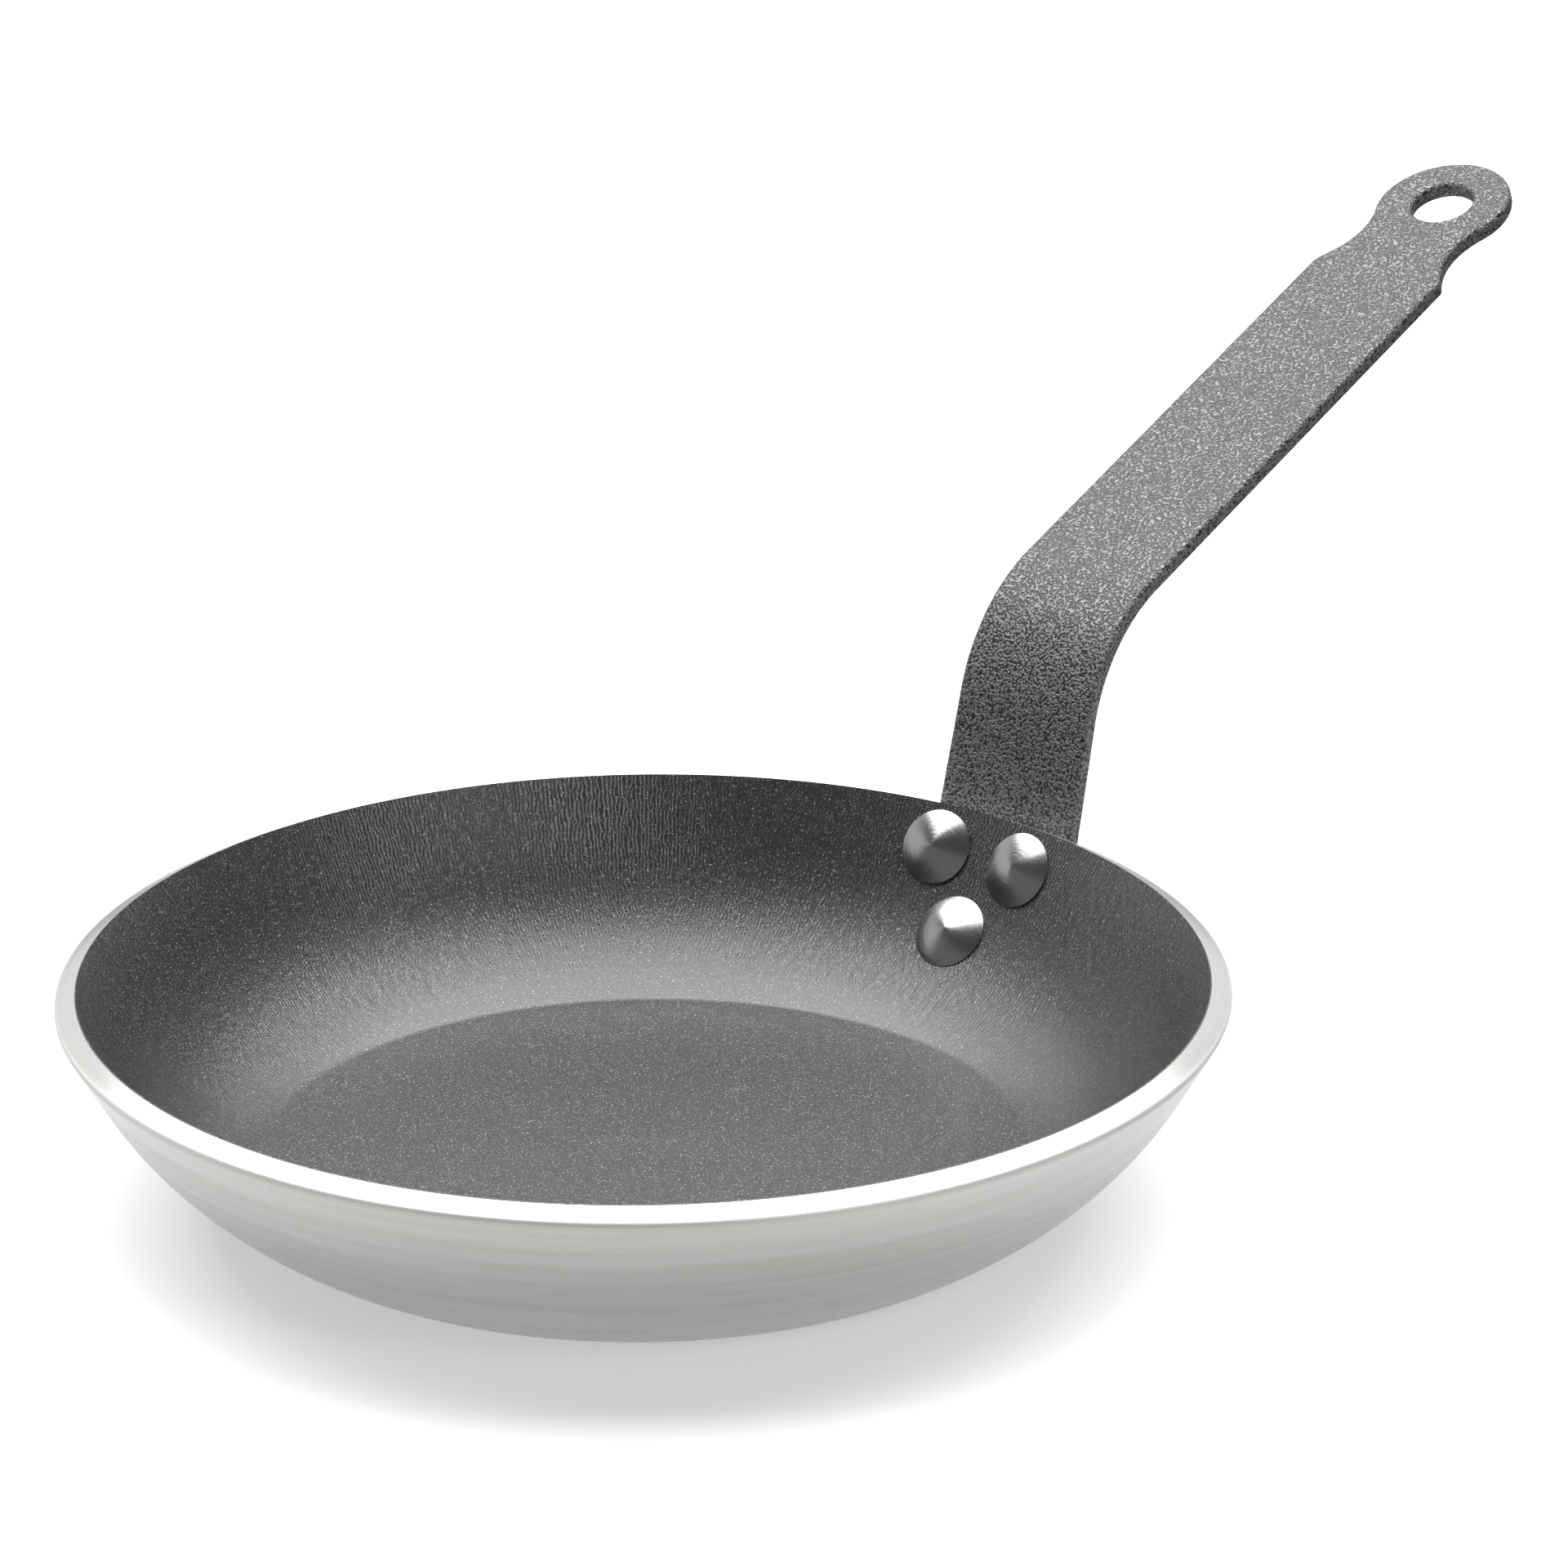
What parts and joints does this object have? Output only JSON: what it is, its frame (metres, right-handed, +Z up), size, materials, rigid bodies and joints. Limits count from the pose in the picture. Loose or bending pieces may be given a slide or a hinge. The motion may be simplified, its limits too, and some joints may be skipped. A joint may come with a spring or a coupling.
{
  "type": "omelette pan",
  "caption": "Round sloped-wall omelette pan of pressed aluminium with a nonstick inner skin and a bent, riveted strip handle that ends in a hanging eye.",
  "frame": {"origin": "middle of the underside of the base, where the pan rests", "axes": "+Z up through the middle of the bowl, +X along the handle seen from above, +Y to the left of the handle"},
  "size_m": [0.4174, 0.2398, 0.1532],
  "materials": {
    "pan_body": "satin turned aluminium",
    "nonstick_coating": "semi-matt dark grey fluoropolymer with fine metallic flecks",
    "handle": "silver vein epoxy powder coat on steel",
    "rivets": "polished aluminium"
  },
  "bodies": {
    "root": {"pan_body": "pan_body", "nonstick_coating": "nonstick_coating", "handle": "handle", "rivet_upper_left": "rivets", "rivet_upper_right": "rivets", "rivet_lower": "rivets"}
  },
  "joints": []
}
